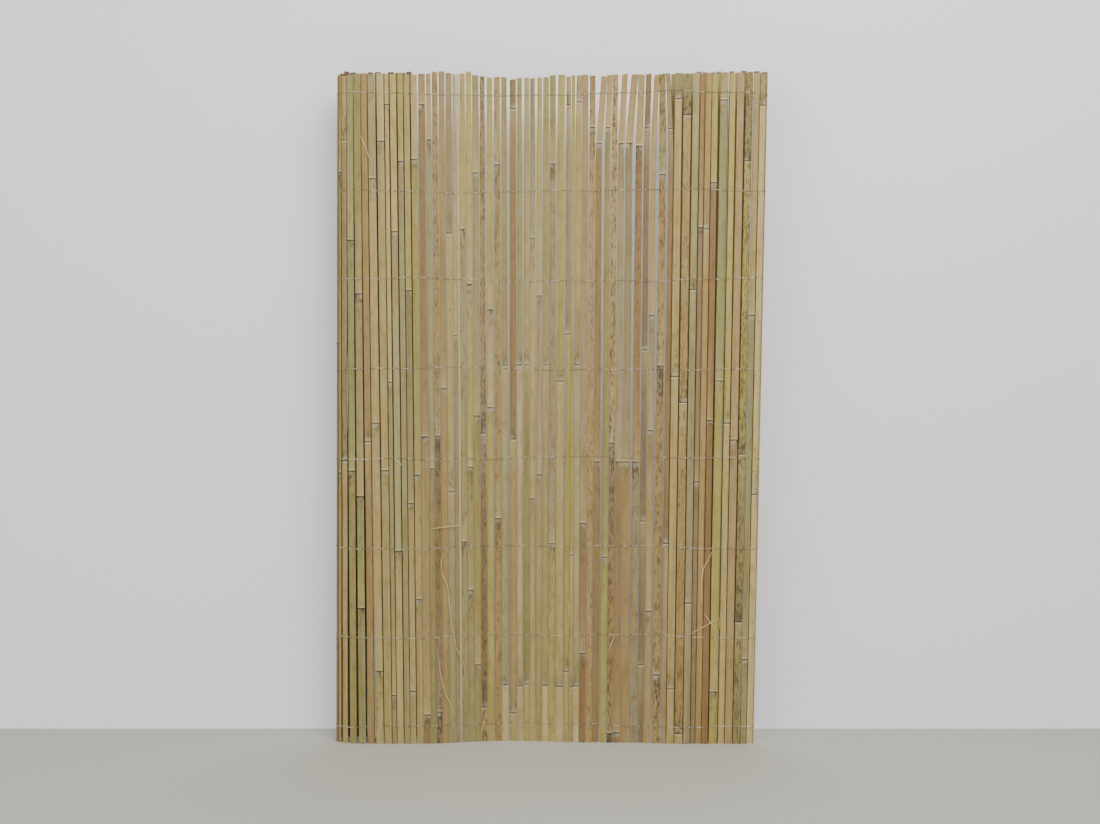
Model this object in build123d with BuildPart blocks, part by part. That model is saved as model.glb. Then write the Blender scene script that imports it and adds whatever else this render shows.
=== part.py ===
"""A split-bamboo screen stood on its edge, with both ends turned back behind it.

Ninety-two flat slats stand side by side. Eight rows of wire bind them: in each row one
strand crosses the outer faces, one crosses the inner faces, and a knot joins the two at
each free end. In plan the sheet runs along a return at the back, round a wide turn, across
the front, round a tight turn and along a second return, so it stands by itself.

+X runs along the front from left to right, +Y runs to the back and +Z is up.
"""

from build123d import *
import math
import os
import random
from dataclasses import dataclass, replace

# Overall sizes, in millimetres
screen_height = 1508
slat_thickness = 3.6
crown = 0.7  # how far the skin side of a slat falls away towards its long edges
crown_flat = 0.5  # share of the width that the flat of the crown takes

# The ridge at each node of the cane
ridge_rise = 0.6
ridge_length = 11

# The binding wire
wire_size = 1.2
wire_clearance = 0.25  # between a strand and the slats that it crosses
knot_length = 4
first_row_height = 40
row_pitch = 201
top_row_margin = 42
ridge_to_wire = 1.5  # a ridge sits at least this far from a strand

# How the sheet stands: wider at the top than at the foot, and leaning a little
fan = 0.031
fan_fades_over = 89  # the left edge stands upright: the fan fades out over this much at that side
lean = 1.5

# The two turns and the returns behind them
left_turn_headings = (22, 52, 82, 108, 136, 155, 168, 176)
right_turn_headings = (12, 90, 104, 124, 148, 168)
left_return_slats = 10
right_return_slats = 12
return_widths = (13, 12, 14.5, 12.5, 15, 13.5, 11.5)
return_gap = 1
turn_gap = 3
slats_beside_turn = 5  # slats of the left return that keep the turn's gap
internode_lengths = (520, 700)
back_rise = 20  # how far the sheet behind either end stands above the front
free_end_rise = 14  # the same, at the free end of the right return
turn_rise = 6  # the same, where the sheet starts to turn behind the front

# How uneven the ends of the slats are
uneven_top = 2.5  # slat tops differ by up to this much each way
uneven_foot = 2.0  # how far the shorter slats stop above the ground
short_slat_every = 6

slats_in_a_file = 2


@dataclass(frozen=True)
class Slat:
    """One slat: its width, the gap after it, the heights of its nodes, and its extra height."""

    width: float
    gap: float
    nodes: tuple = ()
    extra: float = 0


# The slats seen from the front, from left to right. The first five go round the left turn.
turn_edge = (
    Slat(15, turn_gap, (905, 240)),
    Slat(9, turn_gap, (1290, 610)),
    Slat(13, turn_gap, (1359, 640)),
    Slat(15.5, turn_gap, (1135, 615)),
    Slat(16, turn_gap, (1014, 558, 306)),
)
left_block = (
    Slat(13.5, 3.5, (678,)),
    Slat(15.5, 4.5, (1273, 723, 165)),
    Slat(15.5, 1.5, (1357, 616)),
    Slat(9, 3, (1440, 815, 110)),
    Slat(13.5, 3, (1154, 441)),
    Slat(12, 1.5, (1312,)),
    Slat(13, 2.5, (1021, 542, 120)),
    Slat(13.5, 2.5, (1316, 606, 326)),
)
fall_back = (
    Slat(15, 3, (1440, 692, 66)),
    Slat(10, 2.5, (1361, 620)),
    Slat(12, 2.5, (694, 72), 5),
)
deepening = (
    Slat(13, 1.8, (801,), 5),
    Slat(14, 1.8, (1149, 565), 6),
    Slat(7.5, 1.2, (921,), 5),
    Slat(5, 1.2, (), 4),
    Slat(12.5, 1.8, (1161, 454), 5),
    Slat(12.5, 1.5, (1037, 623, 344), 12),
    Slat(14.5, 2.5, (1290, 739, 175), 3),
)
deepest = (
    Slat(10, 6.5, (697, 76)),
    Slat(11, 4.5, (980, 758)),
    Slat(12.5, 3.2, (1309, 506)),
    Slat(11, 8.5, (846, 126), -3),
)
coming_forward = (
    Slat(13, 2.5, (1434, 684, 62), -8),
    Slat(10, 6.2, (846, 124), -3),
    Slat(11, 1.5, (846, 128), -3),
    Slat(10, 6.8, (1142, 551), -2),
)
middle = (
    Slat(9.5, 3.2, (1011, 606)),
    Slat(12.5, 1.8, (846, 126)),
    Slat(13, 4.2, (1310, 444)),
    Slat(14.5, 5.8, (815, 124)),
    Slat(9.5, 1.2, (1440, 921, 158)),
    Slat(8, 1.2, (421, 124)),
    Slat(12.5, 1.5, (1446, 844, 126)),
)
red_stretch = (
    Slat(13.5, 3.8, (496, 203)),
    Slat(12, 1.5, (1391,)),
    Slat(12.5, 8.5, (1355, 640)),
    Slat(11, 2.5, (1390, 420)),
    Slat(12, 3, (678, 22)),
    Slat(12.5, 3.8, (1354, 640, 24)),
    Slat(13, 11, (1355, 641)),
    Slat(12.5, 4, (1348, 635)),
)
stepping_out = (
    Slat(12, 3.2, (1386, 885, 499, 175)),
    Slat(10, 10.5, (966, 706, 299)),
    Slat(12, 7.2, (1283, 844, 156)),
    Slat(9.5, 1.8, (1383, 446)),
)
right_block = (
    Slat(15.5, 4.2, (1450, 825, 122)),
    Slat(16, 4, (1414, 767, 22)),
    Slat(14, 2, (1021, 315)),
    Slat(10, 1.5, (1163, 592)),
    Slat(13, 1.5, (1157,)),
    Slat(13, 5, (1264, 729)),
    Slat(16, 5, (1450, 818, 118)),
    Slat(12, 3.5, (720,)),
    Slat(15, 4.2, (685,)),
    Slat(14.5, 2, (1310, 644, 273)),
    Slat(13, 1.5, (966, 191)),
)
first_turned_slat = Slat(14, 3, (1436, 560))

# How far the sheet heads away from straight across, in degrees, for each stretch of the front
front_stretches = (
    (left_block, 0),
    (fall_back, 6),
    (deepening, 12),
    (deepest, 4),
    (coming_forward, -4),
    (middle, -6),
    (red_stretch, -1.5),
    (stepping_out, -8),
    (right_block, 0),
)

half_height = screen_height / 2
top_row_height = screen_height - top_row_margin
pitched_rows = round((top_row_height - first_row_height) / row_pitch)
row_heights = [first_row_height + row_pitch * row for row in range(pitched_rows)]
row_heights.append(top_row_height)
variation = random.Random(11)


@dataclass(frozen=True)
class Placed:
    """A slat in its place: its stretch, its middle in plan at half height, its heading, its ends."""

    stretch: str
    slat: Slat
    middle: Vector
    heading: float
    foot: float
    top: float


def direction(degrees):
    """The unit vector in plan that heads this way."""
    return Vector(math.cos(math.radians(degrees)), math.sin(math.radians(degrees)))


def plain_slats(count, gap):
    """Slats for a part of the sheet that the front hides, with nodes an internode apart."""
    slats = []
    for number in range(count):
        nodes = []
        height = variation.uniform(80, 480)
        while height < screen_height:
            nodes.append(height)
            height += variation.uniform(*internode_lengths)
        width = return_widths[(number * 3) % len(return_widths)]
        slats.append(Slat(width, gap, tuple(nodes)))
    return slats


def raised(slats, first_rise, last_rise):
    """The same slats, made longer by amounts that go evenly from the first to the last."""
    step = (last_rise - first_rise) / (len(slats) - 1)
    return [replace(slat, extra=first_rise + step * number) for number, slat in enumerate(slats)]


def sheet_in_order():
    """Every slat with its stretch and heading, from the left free end to the right one."""
    hidden_turn = len(left_turn_headings) - len(turn_edge)
    left_return = plain_slats(left_return_slats - slats_beside_turn, return_gap)
    left_return += plain_slats(slats_beside_turn, turn_gap)
    left_return = raised(left_return, back_rise, back_rise)
    left_turn = raised(plain_slats(hidden_turn, turn_gap), back_rise, turn_rise) + list(turn_edge)
    right_turn = raised(plain_slats(len(right_turn_headings) - 1, return_gap), turn_rise, back_rise)
    right_return = raised(plain_slats(right_return_slats, return_gap), back_rise, free_end_rise)

    ordered = [("left_return", slat, 180) for slat in left_return]
    for slat, turned in zip(left_turn, left_turn_headings):
        ordered.append(("left_turn", slat, 180 + turned))
    for stretch, slope in front_stretches:
        ordered += [("front", slat, 360 + slope) for slat in stretch]
    for slat, turned in zip([first_turned_slat] + right_turn, right_turn_headings):
        ordered.append(("right_turn", slat, 360 + turned))
    ordered += [("right_return", slat, 540) for slat in right_return]
    return ordered


def lay_out():
    """Set the slats one after another in plan, each gap heading midway between its slats."""
    placed = []
    point = Vector(0, 0)
    last_gap, last_heading = 0, 180
    for number, (stretch, slat, heading) in enumerate(sheet_in_order()):
        point += direction((last_heading + heading) / 2) * last_gap
        middle = point + direction(heading) * (slat.width / 2)
        point += direction(heading) * slat.width
        is_short = number % short_slat_every == short_slat_every - 1
        foot = variation.uniform(0, uneven_foot) if is_short else 0
        top = screen_height + slat.extra + variation.uniform(-uneven_top, uneven_top)
        placed.append(Placed(stretch, slat, middle, heading, foot, top))
        last_gap, last_heading = slat.gap, heading
    across = [one.middle.X for one in placed]
    centre = Vector((min(across) + max(across)) / 2, 0)
    return [replace(one, middle=one.middle - centre) for one in placed]


def spread_at(point, height):
    """Where a point of the half-height plan goes at another height."""
    share = (height - half_height) / half_height
    faded = min(1, max(0, (point.X - left_edge) / fan_fades_over))
    return Vector(point.X + (fan * faded * point.X + lean) * share, point.Y, height)


def clear_of_wires(node):
    """The height of a node's ridge, moved just off a wire row that would cross it."""
    reach = (ridge_length + wire_size) / 2 + ridge_to_wire
    for row in row_heights:
        if abs(node - row) < reach:
            return row + math.copysign(reach, node - row)
    return node


def slat_stations(placed):
    """Heights along a slat with the ridge's rise at each, from the foot up."""
    stations = [(placed.foot, 0)]
    for node in sorted(placed.slat.nodes):
        height = clear_of_wires(node)
        if placed.foot + ridge_length < height < placed.top - ridge_length:
            stations.append((height - ridge_length / 2, 0))
            stations.append((height, ridge_rise))
            stations.append((height + ridge_length / 2, 0))
    stations.append((placed.top, 0))
    return stations


def slat_outline(width, rise):
    """The corners of a slat's section: a flat inner face and a crowned outer one."""
    edge, flat = width / 2, width / 2 * crown_flat
    inner = slat_thickness / 2
    outer = -slat_thickness / 2 - rise
    return (
        (-edge, inner),
        (-edge, outer + crown),
        (-flat, outer),
        (flat, outer),
        (edge, outer + crown),
        (edge, inner),
    )


def make_slats(group):
    """The slats of one file, each a solid of its own."""
    with BuildPart() as slats:
        for placed in group:
            for height, rise in slat_stations(placed):
                middle = spread_at(placed.middle, height)
                with BuildSketch(Plane(middle, x_dir=direction(placed.heading), z_dir=(0, 0, 1))):
                    with BuildLine():
                        Polyline(*slat_outline(placed.slat.width, rise), close=True)
                    make_face()
            loft(ruled=True)
    return slats.part


def crossing(one, following):
    """Where the middle lines of two neighbouring slats meet in plan."""
    along, turned = direction(one.heading), direction(following.heading)
    apart = following.middle - one.middle
    return one.middle + along * (apart.cross(turned).Z / along.cross(turned).Z)


def sheet_line(sheet, height, past_ends):
    """The sheet's middle line at this height, run on past both free ends."""
    sheet = [replace(one, middle=spread_at(one.middle, height)) for one in sheet]
    first, last = sheet[0], sheet[-1]
    corners = [first.middle - direction(first.heading) * (first.slat.width / 2 + past_ends)]
    for one, following in zip(sheet, sheet[1:]):
        if one.heading != following.heading:
            corners.append(crossing(one, following))
    corners.append(last.middle + direction(last.heading) * (last.slat.width / 2 + past_ends))
    return corners


def beside(line, offset):
    """A line that runs beside another at this distance, square to it, with mitred corners."""
    runs = [(after - before).normalized() for before, after in zip(line, line[1:])]
    sides = [Vector(-run.Y, run.X) for run in runs]
    points = []
    for corner, before, after in zip(line, sides[:1] + sides, sides + sides[-1:]):
        mitre = (before + after).normalized()
        points.append(corner + mitre * (offset / mitre.dot(after)))
    return [(point.X, point.Y) for point in points]


def band(line, offset):
    """The closed outline that lies this far to each side of a line."""
    return beside(line, -offset) + beside(line, offset)[::-1]


def make_wire(sheet, height):
    """One row of wire: both strands, joined by a knot at each free end."""
    inner_side = slat_thickness / 2 + wire_clearance
    whole = sheet_line(sheet, height, knot_length)
    between_knots = sheet_line(sheet, height, wire_clearance)
    with BuildPart() as wire:
        with BuildSketch(Plane.XY.offset(height - wire_size / 2)):
            with BuildLine():
                Polyline(*band(whole, inner_side + wire_size), close=True)
            make_face()
            with BuildLine():
                Polyline(*band(between_knots, inner_side), close=True)
            make_face(mode=Mode.SUBTRACT)
        extrude(amount=wire_size)
    return wire.part


sheet = lay_out()
left_edge = min(one.middle.X for one in sheet)
pieces = []
for stretch in ("left_return", "left_turn", "front", "right_turn", "right_return"):
    members = [one for one in sheet if one.stretch == stretch]
    for start in range(0, len(members), slats_in_a_file):
        group = members[start : start + slats_in_a_file]
        slats = make_slats(group)
        slats.label = f"{stretch}_slats_{start + 1:02d}_{start + len(group):02d}"
        pieces.append(slats)
for number, height in enumerate(row_heights, start=1):
    wire = make_wire(sheet, height)
    wire.label = f"wire_row_{number}"
    pieces.append(wire)

# The origin lies under the middle of the whole screen, on the ground
extent = Compound([solid for piece in pieces for solid in piece.solids()]).bounding_box()
to_origin = Location((-extent.center().X, -extent.center().Y, -extent.min.Z))
os.makedirs("parts", exist_ok=True)
for piece in pieces:
    seated = piece.moved(to_origin)
    seated.label = piece.label
    export_step(seated, f"parts/{piece.label}.step")
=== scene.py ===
"""Dresses a standing screen of split bamboo.

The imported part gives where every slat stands, how wide it is and where the nodes of its
cane lie. From these the script makes rounded, slightly uneven slats, eight rows of tie
wire twisted in every gap, and the loose fibres that hang on the slats.
"""

import logging
import math
import random
from dataclasses import dataclass
from enum import Enum
from typing import ClassVar

import bpy
import numpy as np
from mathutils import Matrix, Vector


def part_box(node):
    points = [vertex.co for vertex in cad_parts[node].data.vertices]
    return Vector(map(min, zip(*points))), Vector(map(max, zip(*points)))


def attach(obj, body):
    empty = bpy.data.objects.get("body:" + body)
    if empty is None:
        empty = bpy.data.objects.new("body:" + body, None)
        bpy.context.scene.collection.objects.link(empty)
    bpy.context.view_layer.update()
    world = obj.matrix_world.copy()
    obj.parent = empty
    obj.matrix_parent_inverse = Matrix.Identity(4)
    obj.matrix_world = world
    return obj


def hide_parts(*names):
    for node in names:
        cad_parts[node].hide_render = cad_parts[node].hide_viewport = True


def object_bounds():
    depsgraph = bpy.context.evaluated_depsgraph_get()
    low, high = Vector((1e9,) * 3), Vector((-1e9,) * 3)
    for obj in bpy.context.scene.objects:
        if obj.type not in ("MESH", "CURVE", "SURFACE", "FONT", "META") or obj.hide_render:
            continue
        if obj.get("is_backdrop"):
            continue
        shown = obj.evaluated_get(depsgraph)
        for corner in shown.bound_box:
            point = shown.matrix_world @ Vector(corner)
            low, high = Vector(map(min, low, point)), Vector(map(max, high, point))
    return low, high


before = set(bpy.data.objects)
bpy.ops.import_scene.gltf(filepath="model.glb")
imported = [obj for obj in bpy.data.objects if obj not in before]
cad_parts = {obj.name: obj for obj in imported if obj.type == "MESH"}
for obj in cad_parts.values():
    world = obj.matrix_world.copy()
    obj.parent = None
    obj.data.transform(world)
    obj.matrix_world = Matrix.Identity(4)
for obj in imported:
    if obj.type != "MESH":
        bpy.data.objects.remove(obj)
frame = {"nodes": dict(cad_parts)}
log = logging.getLogger("bamboo_screen")

Rgb = tuple[int, int, int]
Tint = tuple[float, float, float]
Colour = tuple[float, float, float, float]

MM = 0.001
WIRE_ROWS = 8
HALF_HEIGHT = 0.75
FAR = 0.4  # taken as the distance from a node where there is none
WIRE_BEFORE_FRONT = 0.65 * MM  # how far the wire stands before the front that the view is measured on
WHITE = (1.0, 1.0, 1.0, 1.0)

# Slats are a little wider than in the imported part: how much of a gap they take, by height
SPREAD_AT_FOOT = 1.45
SPREAD_LOST_AT_TOP = 0.8


def linear(red: int, green: int, blue: int) -> Colour:
    """A colour as seen on a screen, in the linear values that Blender works with.

    Args:
        red: 0 to 255.
        green: 0 to 255.
        blue: 0 to 255.

    Returns:
        Linear red, green and blue, and 1 for alpha.
    """
    shares = [value / 255 for value in (red, green, blue)]
    made = [s / 12.92 if s <= 0.04045 else ((s + 0.055) / 1.055) ** 2.4 for s in shares]
    return (made[0], made[1], made[2], 1.0)


class Tone(Enum):
    """The colours that one internode of split cane can have."""

    STRAW = (190, 171, 118)
    PALE = (204, 187, 134)
    TAN = (180, 154, 103)
    ORANGE = (178, 149, 100)
    BROWN = (156, 129, 88)
    RUST = (156, 125, 88)
    OLIVE = (163, 150, 98)
    GREEN = (160, 156, 106)
    GREY_GREEN = (171, 161, 117)
    YELLOW = (184, 170, 100)
    GREY = (164, 149, 112)
    PURPLE = (148, 126, 98)
    PINK = (178, 152, 112)
    DARK = (122, 102, 68)
    FIBRE = (236, 220, 168)

    def colour(self) -> Colour:
        """The tone in linear values. Returns: red, green, blue and alpha."""
        return linear(*self.value)

    @classmethod
    def listed(cls, words: str) -> tuple["Tone", ...]:
        """Tones from their names. Args: words: the names, with spaces between. Returns: the tones."""
        return tuple(cls[word.upper()] for word in words.split())


class Growth(Enum):
    """Which way up the cane stands: on its tip side a node is bright, on the other waxy."""

    UPWARD = 1
    DOWNWARD = -1


class Socket:
    """An output of a node, which can be reckoned with like a number."""

    def __init__(self, tree: "Tree", socket: bpy.types.NodeSocket) -> None:
        """Keep an output. Args: tree, socket: the tree and the output."""
        self.tree = tree
        self.socket = socket

    def maths(self, operation: str, *others: "Socket | float") -> "Socket":
        """A math node on this. Args: operation, others: its kind and further inputs. Returns: the result."""
        return self.tree.maths(operation, self, *others)

    def __add__(self, other: "Socket | float") -> "Socket":
        """Add. Args: other: the second term. Returns: the sum."""
        return self.maths("ADD", other)

    def __radd__(self, other: float) -> "Socket":
        """Add to a plain number. Args: other: the number. Returns: the sum."""
        return self.tree.maths("ADD", other, self)

    def __sub__(self, other: "Socket | float") -> "Socket":
        """Subtract. Args: other: what is taken away. Returns: the difference."""
        return self.maths("SUBTRACT", other)

    def __rsub__(self, other: float) -> "Socket":
        """Take this from a plain number. Args: other: the number. Returns: the difference."""
        return self.tree.maths("SUBTRACT", other, self)

    def __mul__(self, other: "Socket | float") -> "Socket":
        """Multiply. Args: other: the second factor. Returns: the product."""
        return self.maths("MULTIPLY", other)

    def __rmul__(self, other: float) -> "Socket":
        """Multiply a plain number. Args: other: the number. Returns: the product."""
        return self.tree.maths("MULTIPLY", other, self)

    def __truediv__(self, other: "Socket | float") -> "Socket":
        """Divide. Args: other: the divisor. Returns: the quotient."""
        return self.maths("DIVIDE", other)

    def __rtruediv__(self, other: float) -> "Socket":
        """Divide a plain number by this. Args: other: the number. Returns: the quotient."""
        return self.tree.maths("DIVIDE", other, self)

    def __pow__(self, other: "Socket | float") -> "Socket":
        """Raise to a power. Args: other: the power. Returns: the result."""
        return self.maths("POWER", other)

    def ramp(self, low: float, high: float) -> "Socket":
        """How far this is from one value to another, eased at both ends.

        Args:
            low: where the result is 0.
            high: where the result is 1.

        Returns:
            A number from 0 to 1.
        """
        made = self.tree.node(
            "ShaderNodeMapRange",
            {"interpolation_type": "SMOOTHSTEP"},
            {"Value": self, "From Min": low, "From Max": high, "To Min": 0.0, "To Max": 1.0},
        )
        return Socket(self.tree, made.outputs["Result"])


class Tree:
    """A node tree whose nodes are all added by one method."""

    def __init__(self, tree: bpy.types.NodeTree) -> None:
        """Keep the tree. Args: tree: a node tree."""
        self.tree = tree

    def node(self, kind: str, settings: dict | None = None, inputs: dict | None = None) -> bpy.types.Node:
        """Add a node.

        Args:
            kind: its type.
            settings: its properties by name.
            inputs: its inputs by name, identifier or place, each a socket or a constant.

        Returns:
            The node.
        """
        made = self.tree.nodes.new(kind)
        for name, value in (settings or {}).items():
            setattr(made, name, value)
        for key, value in (inputs or {}).items():
            found = [s for s in made.inputs if s.identifier == key]
            target = made.inputs[key] if isinstance(key, int) or not found else found[0]
            if isinstance(value, Socket):
                self.tree.links.new(value.socket, target)
            else:
                target.default_value = value
        return made

    def out(
        self, kind: str, output: str | int, settings: dict | None = None, inputs: dict | None = None
    ) -> Socket:
        """Add a node and give one of its outputs.

        Args:
            kind: the node's type.
            output: the output's name, identifier or place.
            settings: the node's properties.
            inputs: the node's inputs.

        Returns:
            The output.
        """
        made = self.node(kind, settings, inputs)
        found = [s for s in made.outputs if s.identifier == output]
        return Socket(self, found[0] if found else made.outputs[output])

    def maths(self, operation: str, *terms: "Socket | float") -> Socket:
        """Add a math node. Args: operation, terms: its kind and inputs. Returns: the result."""
        return self.out("ShaderNodeMath", 0, {"operation": operation}, dict(enumerate(terms)))

    def mix(
        self, share: "Socket | float", first: "Socket | tuple", second: "Socket | tuple", blend: str = "MIX"
    ) -> Socket:
        """Blend two colours.

        Args:
            share: how much of the second.
            first: the first colour.
            second: the second colour.
            blend: the way of blending.

        Returns:
            The blended colour.
        """
        settings = {"data_type": "RGBA", "blend_type": blend, "clamp_result": True}
        inputs = {"Factor_Float": share, "A_Color": first, "B_Color": second}
        return self.out("ShaderNodeMix", "Result_Color", settings, inputs)

    def xyz(self, x: "Socket | float", y: "Socket | float", z: "Socket | float") -> Socket:
        """Make a vector. Args: x, y, z: its parts. Returns: the vector."""
        return self.out("ShaderNodeCombineXYZ", 0, None, {0: x, 1: y, 2: z})

    def noise(self, vector: Socket, scale: float, detail: float = 2.0, rough: float = 0.5) -> Socket:
        """Add a noise. Args: vector, scale, detail, rough: as in Blender. Returns: the noise, 0 to 1."""
        inputs = {"Vector": vector, "Scale": scale, "Detail": detail, "Roughness": rough}
        return self.out("ShaderNodeTexNoise", 0, {"noise_dimensions": "3D"}, inputs)

    def surface(self, inputs: dict) -> bpy.types.Node:
        """Add the shader of a material and put it out as its surface.

        Args:
            inputs: the shader's inputs by name, each a socket or a constant.

        Returns:
            The shader.
        """
        shader = self.node("ShaderNodeBsdfPrincipled", None, inputs)
        self.node("ShaderNodeOutputMaterial", None, {"Surface": Socket(self, shader.outputs[0])})
        return shader


def new_material(name: str) -> tuple[bpy.types.Material, Tree]:
    """Start a material that has no nodes yet.

    Args:
        name: its name.

    Returns:
        The material and its tree.
    """
    made = bpy.data.materials.new(name)
    made.use_nodes = True
    made.node_tree.nodes.clear()
    return made, Tree(made.node_tree)


@dataclass(frozen=True)
class BambooFinish:
    """Dry split cane: fibres along the slat, waxy and dark marks at the nodes, mould specks, and painted
    shade on the cut edges and inner side.
    """

    name: str = "split_bamboo"
    rough: float = 0.55
    mirror: float = 0.22
    bright: Rgb = (206, 186, 128)
    dull: Rgb = (146, 136, 98)
    grey_wax: Rgb = (180, 171, 146)
    white_wax: Rgb = (196, 186, 152)
    mould: Rgb = (92, 74, 50)
    scar: Rgb = (76, 60, 36)
    rim: Rgb = (224, 208, 160)
    pith: Rgb = (172, 150, 110)
    pith_streak: Rgb = (142, 118, 82)
    # Painted shade: the dark brown that cut edges and inner sides take where they lie in shadow
    painted_shade: Rgb = (78, 58, 40)
    grime: Tint = (0.74, 0.7, 0.6)
    lit: Tint = (1.16, 1.15, 1.1)

    @staticmethod
    def read(tree: Tree, name: str, output: str = "Fac") -> Socket:
        """An attribute of the mesh. Args: tree, name, output: where, which, its socket. Returns: it."""
        return tree.out("ShaderNodeAttribute", output, {"attribute_name": name})

    @staticmethod
    def tinted(tree: Tree, share: "Socket | float", colour: Socket, tint: Tint) -> Socket:
        """A colour multiplied by a tint. Args: tree, share, colour, tint: as named. Returns: the colour."""
        return tree.mix(share, colour, (*tint, 1.0), "MULTIPLY")

    def skin(self, tree: Tree, tone: Socket, noises: dict[str, Socket]) -> Socket:
        """The colour of the outer face.

        Args:
            tree: the material's tree.
            tone: the tone of the internode.
            noises: the noises by name.

        Returns:
            The colour.
        """
        specks, bright, waxy = (self.read(tree, name) for name in ("specks", "bright_side", "waxy_side"))
        fine, broad, patch, spots, slow = (noises[key] for key in ("fine", "broad", "patch", "spots", "slow"))

        # Each side of a node fades into the tone of the internode
        fresh = (bright * -14.0).maths("EXPONENT")
        colour = tree.mix(fresh * 0.5, tone, linear(*self.bright))
        dull = (waxy * -22.0).maths("EXPONENT")
        colour = tree.mix(dull * 0.45, colour, linear(*self.dull))
        bloom = 1.0 - (waxy + (patch - 0.5) * 0.012).ramp(0.005, 0.014)
        colour = tree.mix(bloom * 0.5, colour, linear(*self.grey_wax))

        # Weather, fibres, broad streaks and patches
        layers = (
            (slow.ramp(0.5, 0.72), 0.55, (0.8, 0.83, 0.7)),
            ((1.0 - slow).ramp(0.52, 0.72), 0.45, (0.92, 0.78, 0.66)),
            (fine.ramp(0.35, 0.7), 0.5, (0.78, 0.74, 0.66)),
            (broad.ramp(0.42, 0.7), 0.6, self.grime),
            (patch.ramp(0.46, 0.68), 0.6, (0.78, 0.76, 0.66)),
        )
        for mask, share, tint in layers:
            colour = self.tinted(tree, mask * share, colour, tint)
        lit = self.tinted(tree, 1.0, colour, self.lit)
        colour = tree.mix((1.0 - patch).ramp(0.55, 0.8) * 0.6, colour, lit)

        # Mould in specks, thicker below a node, and white wax that lies over it in places
        aged = specks + dull * 0.7
        spotted = (spots + aged * 0.16 + (patch - 0.5) * 0.3).ramp(0.6, 0.72)
        spotted = spotted * (0.22 + 0.7 * aged).maths("MINIMUM", 0.85)
        colour = tree.mix(spotted, colour, linear(*self.mould))
        colour = tree.mix(bloom * (1.0 - patch.ramp(0.46, 0.6)) * 0.42, colour, linear(*self.white_wax))

        # The dark scar of the node, its pale rim and the grime about it
        scar = 1.0 - (waxy + (fine - 0.5) * 0.0008).ramp(0.0016, 0.0036)
        colour = tree.mix(scar * 0.92, colour, linear(*self.scar))
        rim = (1.0 - bright.ramp(0.0012, 0.0045)) * (1.0 - scar)
        colour = tree.mix(rim * 0.7, colour, linear(*self.rim))
        near = 1.0 - bright.maths("MINIMUM", waxy).ramp(0.002, 0.012)
        return self.tinted(tree, near * 0.2, colour, self.grime)

    def material(self) -> bpy.types.Material:
        """Make the material.

        Returns:
            The material.
        """
        made, tree = new_material(self.name)
        tone = self.read(tree, "tone", "Color")
        across, seed, outer, inside = (self.read(tree, key) for key in ("across", "seed", "outer", "inside"))
        height = tree.out("ShaderNodeSeparateXYZ", 2, None, {0: tree.out("ShaderNodeTexCoord", "Object")})

        # For each noise: how fine it is across, from slat to slat and along, its layers and their strength
        grains = {
            "fine": (1300.0, 310.0, 7.0, 3.0, 0.6),
            "broad": (330.0, 170.0, 4.0, 2.0, 0.5),
            "patch": (90.0, 230.0, 34.0, 3.0, 0.6),
            "spots": (300.0, 70.0, 95.0, 4.0, 0.65),
            "slow": (20.0, 370.0, 5.0, 2.0, 0.5),
        }
        noises = {
            name: tree.noise(tree.xyz(across * wide, seed * apart, height * along), 1.0, layers, strength)
            for name, (wide, apart, along, layers, strength) in grains.items()
        }
        colour = self.skin(tree, tone, noises)

        # Cut edges and the inner side are pithy and duller, and painted shade darkens them where they lie in
        # shadow
        fine = noises["fine"]
        pith = tree.mix(0.6, tone, linear(*self.pith))
        pith = tree.mix(fine.ramp(0.3, 0.7) * 0.5, pith, linear(*self.pith_streak))
        # Painted shade: towards a dark brown, the more the less painted light the slat's inside has
        pith = tree.mix(1.0 - inside, pith, linear(*self.painted_shade))
        colour = tree.mix(outer, pith, colour)

        gloss = self.rough + (1.0 - outer) * 0.25 + (fine - 0.5) * 0.12
        raised = fine * 0.5 + noises["broad"] * 0.3 + noises["spots"] * 0.2
        relief = {"Strength": 0.3, "Distance": 0.8 * MM, "Height": raised}
        normal = tree.out("ShaderNodeBump", 0, None, relief)
        inputs = {"Base Color": colour, "Roughness": gloss, "Normal": normal}
        tree.surface({**inputs, "Specular IOR Level": self.mirror})
        return made


@dataclass(frozen=True)
class WireFinish:
    """Thin galvanised wire, bright with a slightly dull bloom."""

    name: str = "tie_wire"
    bright: Rgb = (234, 226, 206)
    dull: Rgb = (148, 132, 98)

    def material(self) -> bpy.types.Material:
        """Make the material.

        Returns:
            The material.
        """
        made, tree = new_material(self.name)
        worn = tree.noise(tree.out("ShaderNodeTexCoord", "Object"), 95.0, 3.0)
        colour = tree.mix(worn.ramp(0.4, 0.56), linear(*self.bright), linear(*self.dull))
        tree.surface({"Base Color": colour, "Metallic": 0.35, "Roughness": 0.36 + worn * 0.2})
        return made


@dataclass(frozen=True)
class PlainFinish:
    """One even matt colour, for the floor."""

    name: str
    tint: Rgb

    def material(self) -> bpy.types.Material:
        """Make the material.

        Returns:
            The material.
        """
        made, tree = new_material(self.name)
        tree.surface({"Base Color": linear(*self.tint), "Roughness": 0.9, "Specular IOR Level": 0.1})
        return made


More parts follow.
